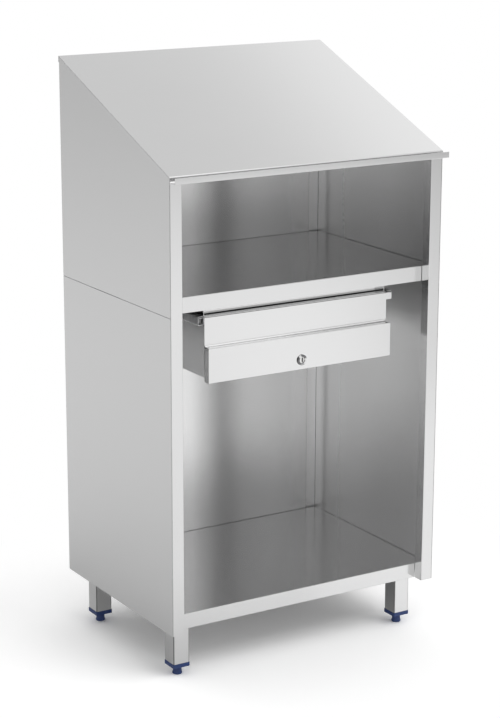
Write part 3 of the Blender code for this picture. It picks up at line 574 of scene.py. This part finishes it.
def softened(node):
    """Copy of a CAD node with its cut edges broken, standing for the node."""
    solid = bmesh.new()
    solid.from_mesh(NODES[node].data)
    bmesh.ops.remove_doubles(solid, verts=solid.verts, dist=SAME_PLACE)
    bmesh.ops.dissolve_limit(solid, angle_limit=FLAT, verts=solid.verts, edges=solid.edges)
    if "back_panel" in node:
        roll_end_edges(solid, runs_up, HEM_ROUND, 5)
    if node == "desk_top":
        tighten_lip(solid)
        solid.normal_update()
        roll_end_edges(solid, is_upper, DESK_EDGE, 3)
        slice_across(solid, half_width(solid) - DESK_END)
    if node in ("base_shelf", "middle_shelf"):
        fill_strips(solid)
    mesh = bpy.data.meshes.new(node)
    solid.to_mesh(mesh)
    solid.free()
    mesh.shade_smooth()
    source = bpy.data.objects.new(node, mesh)
    scene.collection.objects.link(source)
    rounding = source.modifiers.new("edges", "BEVEL")
    rounding.width = EDGE_ROUND
    rounding.segments = 2
    rounding.limit_method = "ANGLE"
    rounding.angle_limit = SHARP
    flats = source.modifiers.new("flats", "WEIGHTED_NORMAL")
    flats.weight = 100
    flats.keep_sharp = True
    piece = place_piece(f"{node}_finished", evaluated_mesh(source), BODY_OF[node],
                        finish_of(node))
    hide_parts(node)


for node_name in NODES:
    if not node_name.endswith("foot_stud"):
        softened(node_name)


# Small parts that repeat

def jig(name, sizes, draw):
    """Geometry node tree with named sizes and a finish, which makes what the function draws."""
    tree = bpy.data.node_groups.new(name, "GeometryNodeTree")
    tree.interface.new_socket("Geometry", in_out="INPUT", socket_type="NodeSocketGeometry")
    for size in sizes:
        tree.interface.new_socket(size, in_out="INPUT", socket_type="NodeSocketFloat")
    tree.interface.new_socket("Finish", in_out="INPUT", socket_type="NodeSocketMaterial")
    tree.interface.new_socket("Geometry", in_out="OUTPUT", socket_type="NodeSocketGeometry")
    paint = Paint(tree)
    given = paint.node("NodeGroupInput")
    real = paint.node("GeometryNodeRealizeInstances", {}, {"Geometry": draw(paint, given)})["Geometry"]
    done = paint.node("GeometryNodeSetMaterial", {}, {"Geometry": real, "Material": given["Finish"]})
    paint.node("NodeGroupOutput", {}, {"Geometry": done["Geometry"]})
    return tree


def made_with(tree, name, source, sizes, body, finish):
    """Piece that a jig makes from the points or path of a mesh."""
    holder = bpy.data.objects.new(name, source)
    scene.collection.objects.link(holder)
    setup = holder.modifiers.new("jig", "NODES")
    setup.node_group = tree
    values = {**sizes, "Finish": finish}
    for item in tree.interface.items_tree:
        if item.in_out == "INPUT" and item.name in values:
            setup[item.identifier] = values[item.name]
    mesh = evaluated_mesh(holder)
    mesh.shade_smooth()
    mesh.set_sharp_from_angle(angle=SHARP)
    return place_piece(name, mesh, body, finish)


def spots(places):
    """Points, each with the direction that its part faces."""
    mesh = bpy.data.meshes.new("spots")
    mesh.from_pydata([place for place, way in places], [], [])
    facing_way = mesh.attributes.new("facing", "FLOAT_VECTOR", "POINT")
    facing_way.data.foreach_set("vector", [part for place, way in places for part in way])
    return mesh


def upright_along(paint, way):
    """Turn that points a shape's top along a direction."""
    return paint.node("FunctionNodeAlignRotationToVector", {"axis": "Z"}, {"Vector": way})["Rotation"]


def on_spots(paint, given, shape):
    """The shape at every spot, with its top turned the way that the spot faces."""
    way = paint.node("GeometryNodeInputNamedAttribute", {"data_type": "FLOAT_VECTOR"}, {"Name": "facing"})
    return paint.node("GeometryNodeInstanceOnPoints", {}, {
        "Points": given["Geometry"], "Instance": shape,
        "Rotation": upright_along(paint, way["Attribute"])})["Instances"]


def own_place(paint):
    return paint.parts_of(paint.node("GeometryNodeInputPosition")["Position"])


def reshaped(paint, shape, x, y, z):
    return paint.node("GeometryNodeSetPosition", {}, {
        "Geometry": shape, "Position": paint.vector(x, y, z)})["Geometry"]


def bar(paint, corners, rings, radius, length):
    return paint.node("GeometryNodeMeshCylinder", {}, {
        "Vertices": corners, "Side Segments": rings, "Radius": radius, "Depth": length})["Mesh"]


def ball(paint, segments, rings, radius):
    return paint.node("GeometryNodeMeshUVSphere", {}, {
        "Segments": segments, "Rings": rings, "Radius": radius})["Mesh"]


def turned(paint, kind, across, length, base):
    """Round or hexagonal bar that stands on a base height, with its two ends drawn in."""
    corners, rings, radius_share, chamfer = kind
    blank = bar(paint, corners, rings, across * radius_share, length)
    place = own_place(paint)
    inward = 1.0 - paint.rise(paint.size_of(place["Z"]) / length, *BAR_END) * chamfer
    height = place["Z"] + length * 0.5 + base
    return reshaped(paint, blank, place["X"] * inward, place["Y"] * inward, height)


def draw_rivet(paint, given):
    """Domed head with the dent that the setting tool leaves."""
    radius = given["Radius"]
    blank = ball(paint, 20, 12, radius)
    place = own_place(paint)
    out = (place["X"] * place["X"] + place["Y"] * place["Y"]) ** 0.5 / radius
    top = paint.largest(place["Z"], 0.0) / radius
    dent = paint.overlap((out, *DENT_EDGE), (top, 0.0, 0.5)) * given["Dent"]
    head = reshaped(paint, blank, place["X"], place["Y"], top * given["Height"] - dent)
    return on_spots(paint, given, head)


def draw_nut(paint, given):
    """Hexagonal nut on its washer, with the end of the stud."""
    across, height, washer = given["Across"], given["Height"], given["Washer"]
    plate = turned(paint, WASHER_BAR, across, washer, 0.0)
    nut = turned(paint, HEXAGON_BAR, across, height, washer)
    stud = turned(paint, STUD_BAR, across, height + given["Stud"], washer)
    joined = paint.node("GeometryNodeJoinGeometry", {}, {"Geometry": [plate, nut, stud]})["Geometry"]
    return on_spots(paint, given, joined)


def draw_thread(paint, given):
    """Stud with a rolled thread, its ends drawn in."""
    root, crest, length = given["Root"], given["Crest"], given["Length"]
    blank = bar(paint, 24, THREAD_RINGS, 1.0, length)
    place = own_place(paint)
    turn = paint.math("ARCTAN2", place["Y"], place["X"]) / tau
    tooth = paint.size_of(paint.math("FRACT", place["Z"] / given["Pitch"] - turn) * 2.0 - 1.0)
    end = paint.rise(paint.size_of(place["Z"]) / length, *THREAD_END)
    radius = (root + (crest - root) * tooth) * (1.0 - end * THREAD_TAPER)
    stud = reshaped(paint, blank, place["X"] * radius, place["Y"] * radius, place["Z"])
    return on_spots(paint, given, stud)


def draw_bead(paint, given):
    """Weld bead of overlapping scales along a path."""
    width, pitch = given["Width"], given["Pitch"]
    path = paint.node("GeometryNodeMeshToCurve", {}, {"Mesh": given["Geometry"]})["Curve"]
    even = paint.node("GeometryNodeResampleCurve", {"mode": "LENGTH"}, {"Curve": path, "Length": pitch})
    along = paint.node("GeometryNodeInputTangent")["Tangent"]
    return paint.node("GeometryNodeInstanceOnPoints", {}, {
        "Points": even["Curve"], "Instance": ball(paint, 10, 6, 1.0),
        "Rotation": upright_along(paint, along),
        "Scale": paint.vector(width, width, pitch * SCALE_OVERLAP)})["Instances"]


RIVET_JIG = jig("rivet_jig", ("Radius", "Height", "Dent"), draw_rivet)
NUT_JIG = jig("nut_jig", ("Across", "Height", "Washer", "Stud"), draw_nut)
THREAD_JIG = jig("thread_jig", ("Root", "Crest", "Pitch", "Length"), draw_thread)
BEAD_JIG = jig("bead_jig", ("Width", "Pitch"), draw_bead)


def middle(node):
    low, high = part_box(node)
    return (low + high) / 2


def spot_welds():
    """Marks of the spot welds that join the back panels to the side panels' back flanges."""
    places = []
    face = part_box("left_lower_side_panel")[1].y
    for panel in ("lower_back_panel", "upper_back_panel"):
        low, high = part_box(panel)
        height = high.z - low.z
        count = round(height / SPOT_WELD_PITCH)
        for step in range(count):
            z = low.z + SPOT_WELD_END + (height - 2 * SPOT_WELD_END) * step / (count - 1)
            places += [((hand * (high.x - SPOT_WELD_INSET), face, z), (0, 1, 0)) for hand in (-1, 1)]
    made_with(RIVET_JIG, "spot_welds", spots(places), SPOT_WELD, "cabinet", WELD)


def leg_nuts():
    """Four nuts under each leg plate."""
    places = []
    ways = (-LEG_NUT_OFFSET, LEG_NUT_OFFSET)
    for leg in LEGS:
        centre, face = middle(f"{leg}_leg_plate"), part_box(f"{leg}_leg_plate")[0].z
        places += [((centre.x + x, centre.y + y, face), (0, 0, -1)) for x in ways for y in ways]
    made_with(NUT_JIG, "leg_nuts", spots(places), LEG_NUT, "cabinet", ZINC)


def leg_welds():
    """Bead round the top of each leg, under its plate."""
    points, edges = [], []
    for leg in LEGS:
        low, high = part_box(f"{leg}_leg")
        first = len(points)
        z = high.z - BEAD_PROUD
        corners = ((low.x, low.y, 1, 1), (high.x, low.y, -1, 1),
                   (high.x, high.y, -1, -1), (low.x, high.y, 1, -1))
        for x, y, dx, dy in corners:
            pair = [(x - dx * BEAD_PROUD, y + dy * BEAD_CORNER, z),
                    (x + dx * BEAD_CORNER, y - dy * BEAD_PROUD, z)]
            points += pair if dx == dy else pair[::-1]
        count = len(points) - first
        edges += [(first + step, first + (step + 1) % count) for step in range(count)]
    path = bpy.data.meshes.new("leg_weld_path")
    path.from_pydata(points, edges, [])
    made_with(BEAD_JIG, "leg_welds", path, LEG_BEAD, "cabinet", WELD)


def hanger_fasteners():
    """Nuts under the hangers' top flanges, rivets of the runners and rivets of the lock's keeper."""
    nuts, rivets = [], []
    level = middle("left_runner").z
    for leg in LEGS:
        low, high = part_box(f"{leg}_hanger")
        hand = 1 if low.x > 0 else -1
        flange = (low.x + high.x) / 2 + hand * HANGER_NUT_SHIFT
        web = (low.x if hand > 0 else high.x) + hand * HANGER_SHEET
        for y in (low.y + HANGER_NUT_END, high.y - HANGER_NUT_END):
            nuts.append(((flange, y, high.z - HANGER_SHEET), (0, 0, -1)))
            rivets.append(((web, y, level), (hand, 0, 0)))
    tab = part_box("lock_keeper")[1]
    rivets += [((x, tab.y - KEEPER_RIVET_INSET, tab.z - HANGER_SHEET), (0, 0, -1))
               for x in (-KEEPER_RIVET_X, KEEPER_RIVET_X)]
    made_with(NUT_JIG, "hanger_nuts", spots(nuts), HANGER_NUT, "cabinet", ZINC)
    made_with(RIVET_JIG, "runner_rivets", spots(rivets), RIVET, "cabinet", ZINC)


def drawer_rivets():
    """Heads inside the drawer of the rivets that hold its rails."""
    low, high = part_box("drawer_box")
    level = middle("left_drawer_rail").z
    places = [((hand * (high.x - BOX_SHEET), low.y + share * (high.y - low.y), level), (-hand, 0, 0))
              for hand in (-1, 1) for share in DRAWER_RIVET_SHARES]
    made_with(RIVET_JIG, "drawer_rivets", spots(places), RIVET, "drawer", ZINC)


def cam_nut():
    """Nut that holds the cam on the lock's plug."""
    centre, back = middle("lock_plug"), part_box("lock_cam")[1].y
    place = spots([((centre.x, back, centre.z), (0, 1, 0))])
    made_with(NUT_JIG, "cam_nut", place, CAM_NUT, "lock_turning", NICKEL)


def foot_studs():
    """Threaded studs that the feet screw up and down on."""
    for leg in LEGS:
        node = f"{leg}_foot_stud"
        low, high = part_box(node)
        sizes = {"Root": THREAD_ROOT, "Crest": (high.x - low.x) / 2,
                 "Pitch": THREAD_PITCH, "Length": high.z - low.z}
        stud = made_with(THREAD_JIG, f"{node}_threaded", spots([(middle(node), (0, 0, 1))]), sizes,
                         BODY_OF[node], finish_of(node))
        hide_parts(node)


spot_welds()
leg_nuts()
leg_welds()
hanger_fasteners()
drawer_rivets()
cam_nut()
foot_studs()


# Studio: brightness of the dome as the metal sees it
DOME_HORIZON = 0.45
DOME_RIGHT = 0.07            # more on the right half
DOME_CEILING = 0.24          # more towards the top
DOME_CEILING_RIGHT = 0.36    # more again up to the right
DOME_OVERHEAD = 0.35
DOME_CEILING_LEFT = 0.40
DOME_TUBE = 0.50             # a tube light high on the right
DOME_ON_MATT = 0.85          # the whole dome's light on matt surfaces

# Studio: brightness of the floor as the metal sees it, with painted light and shade
FLOOR_NEAR = 0.05            # more close to the stand
FLOOR_STRAIGHT = 0.07        # less straight in front than to the right
FLOOR_WIDE = 0.22            # less far out to the right
FLOOR_FRONT = 1.06
FLOOR_FADE_START = 3.7       # metres
FLOOR_FADE = 0.075           # less for each metre beyond
FLOOR_FRONT_LEAST = 0.5
FLOOR_SIDE = 0.765
FLOOR_SIDE_FAR = 0.16        # less far to the side
FLOOR_SIDE_NEAR = 0.09       # less close to the stand
FLOOR_LEFT_FRONT = 0.65      # share of the front's brightness that the left of the front has
# Painted shadow under the stand, as the metal sees it:
FLOOR_UNDER = 0.80           # share of the brightness that is left under the stand
FLOOR_UNDER_RIGHT = 0.37     # less of it on the right

# Studio: floor as the camera and matt surfaces see it, and the lamp
FLOOR_HALF = 30.0
STAND_HALF_WIDTH = 0.35
STAND_HALF_DEPTH = 0.26
# The floor is painted darker under the stand for the camera: painted shadow.
FLOOR_TO_CAMERA = 0.925
FLOOR_TO_CAMERA_CLEAR = 0.25  # more where the stand does not stand over it
FLOOR_ON_MATT = 0.75
LAMP_PLACE = (2.6, -3.2, 3.6)
LAMP_SPREAD = 45.0           # degrees
LAMP_STRENGTH = 0.85


def rays(paint):
    """1 for what the camera sees, and 1 for what the metal mirrors."""
    path = paint.node("ShaderNodeLightPath")
    return path["Is Camera Ray"], path["Is Glossy Ray"]


def for_rays(paint, to_camera, in_metal, on_matt):
    """One level for the camera, one for what the metal mirrors, one for the light on matt surfaces."""
    camera, glossy = rays(paint)
    return camera * to_camera + glossy * in_metal + (1.0 - camera) * (1.0 - glossy) * on_matt


def studio_world():
    """White to the camera; to the metal, a dome, dim at the horizon and brightest up to the right."""
    world = bpy.data.worlds.new("studio")
    scene.world = world
    world.use_nodes = True
    paint = Paint(world.node_tree)
    way = paint.parts_of(paint.node("ShaderNodeTexCoord")["Generated"])
    x, z = way["X"], way["Z"]
    right_half = paint.rise(x, -0.3, 0.3)
    ceiling = paint.rise(z, 0.10, 0.70)
    ceiling_right = paint.rise(x - (z - 0.67) * 1.8, 0.47, 0.62)
    overhead = paint.rise(z, 0.78, 0.95)
    ceiling_left = paint.overlap((z, 0.55, 0.70), (x, 0.30, 0.0))
    tube = paint.overlap((z, 0.79, 0.83), (z, 0.93, 0.89), (x, 0.32, 0.42), (x, 0.59, 0.49))
    dome = (DOME_HORIZON + right_half * DOME_RIGHT
            + ceiling * (DOME_CEILING + ceiling_right * DOME_CEILING_RIGHT)
            + overhead * DOME_OVERHEAD + ceiling_left * DOME_CEILING_LEFT + tube * DOME_TUBE)
    seen = paint.grey(for_rays(paint, 1.0, dome, DOME_ON_MATT))
    shader = paint.node("ShaderNodeBackground", {}, {"Color": seen, "Strength": 1.0})["Background"]
    paint.node("ShaderNodeOutputWorld", {}, {"Surface": shader})


def floor_in_metal(paint, spot, reach):
    """Painted brightness of the floor as the metal sees it: a pool of light best in front to the right,
    less with distance, and painted shadow under the stand.
    """
    x, y = spot["X"], spot["Y"]
    bearing = x / paint.largest(y * -1.0, 0.05)
    near = 1.0 + (1.0 - paint.rise(reach, 0.5, 1.3)) * FLOOR_NEAR
    straight = 1.0 - FLOOR_STRAIGHT + paint.rise(bearing, 0.38, 0.54) * FLOOR_STRAIGHT
    wide = 1.0 - paint.overlap((bearing, 0.62, 0.86), (bearing, 5.0, 2.0), (reach, 1.5, 3.6)) * FLOOR_WIDE
    fade = FLOOR_FRONT - paint.largest(reach - FLOOR_FADE_START, 0.0) * FLOOR_FADE
    front = paint.largest(near * straight * wide * fade, FLOOR_FRONT_LEAST)
    side = (FLOOR_SIDE - paint.rise(reach, 3.4, 9.0) * FLOOR_SIDE_FAR
            - (1.0 - paint.rise(reach, 0.4, 1.3)) * FLOOR_SIDE_NEAR)
    ahead = paint.largest(paint.rise(x, -0.6, 0.1), paint.rise(y, -0.45, -1.2) * FLOOR_LEFT_FRONT)
    open_floor = side + (front - side) * ahead
    clear = paint.largest(paint.rise(paint.size_of(x), 0.40, 0.62), paint.rise(y, -0.10, -0.24),
                          paint.rise(y, 0.42, 0.70))
    # Painted shadow under the stand.
    under = FLOOR_UNDER - paint.rise(x, -0.15, 0.15) * FLOOR_UNDER_RIGHT
    return open_floor * (under + (1.0 - under) * clear)


def studio_floor():
    """Pale floor that keeps the shadow and has painted shadow under the stand, is white away from the
    stand, and mirrors its painted light and shade, dimmer on the left.
    """
    mesh = bpy.data.meshes.new("floor")
    corners = [(x * FLOOR_HALF, y * FLOOR_HALF, 0) for x, y in ((-1, -1), (1, -1), (1, 1), (-1, 1))]
    mesh.from_pydata(corners, [], [(0, 1, 2, 3)])
    floor = bpy.data.objects.new("floor", mesh)
    scene.collection.objects.link(floor)
    made, paint = new_paint("studio_floor")
    place = paint.node("ShaderNodeTexCoord")["Object"]
    spot = paint.parts_of(place)
    across, back = paint.size_of(spot["X"]), spot["Y"]
    reach = paint.node("ShaderNodeVectorMath", {"operation": "LENGTH"}, {0: place})["Value"]
    # Painted shadow under the stand, for the camera.
    clear = paint.largest(paint.rise(across, 0.26, 0.38), paint.rise(back, -0.06, -0.17),
                          paint.rise(back, 0.12, 0.34))
    to_camera = FLOOR_TO_CAMERA + clear * FLOOR_TO_CAMERA_CLEAR
    albedo = for_rays(paint, to_camera, floor_in_metal(paint, spot, reach), FLOOR_ON_MATT)
    diffuse = paint.node("ShaderNodeBsdfDiffuse", {}, {"Color": paint.grey(albedo)})["BSDF"]
    white = paint.node("ShaderNodeEmission", {}, {"Color": (1.0, 1.0, 1.0, 1.0), "Strength": 1.0})
    beside = paint.largest(across - STAND_HALF_WIDTH, paint.size_of(back) - STAND_HALF_DEPTH, 0.0)
    far = rays(paint)[0] * paint.rise(beside, 0.03, 0.55)
    paint.finish_with(paint.node("ShaderNodeMixShader", {}, {
        0: far, 1: diffuse, 2: white["Emission"]})["Shader"])
    mesh.materials.append(made)


def key_light():
    """Wide light from far away, up in front to the right."""
    lamp = bpy.data.lights.new("key_softbox", "SUN")
    lamp.angle = radians(LAMP_SPREAD)
    lamp.energy = LAMP_STRENGTH
    holder = bpy.data.objects.new("key_softbox", lamp)
    scene.collection.objects.link(holder)
    holder.rotation_euler = (-Vector(LAMP_PLACE)).to_track_quat("-Z", "Y").to_euler()
    holder.visible_glossy = False


def photo_camera():
    lens = bpy.data.cameras.new("photo_camera")
    lens.sensor_fit = "VERTICAL"
    lens.sensor_height = PICTURE_HEIGHT
    lens.lens = CAMERA_LENS
    lens.clip_end = CAMERA_REACH
    camera = bpy.data.objects.new("photo_camera", lens)
    scene.collection.objects.link(camera)
    turn = (Matrix.Rotation(radians(CAMERA_TURN), 4, "Z")
            @ Matrix.Rotation(radians(90.0 - CAMERA_DOWN), 4, "X")
            @ Matrix.Rotation(radians(CAMERA_ROLL), 4, "Z"))
    camera.matrix_world = Matrix.Translation(CAMERA_PLACE) @ turn
    scene.camera = camera


studio_world()
studio_floor()
key_light()
photo_camera()
scene.view_settings.view_transform = "Standard"
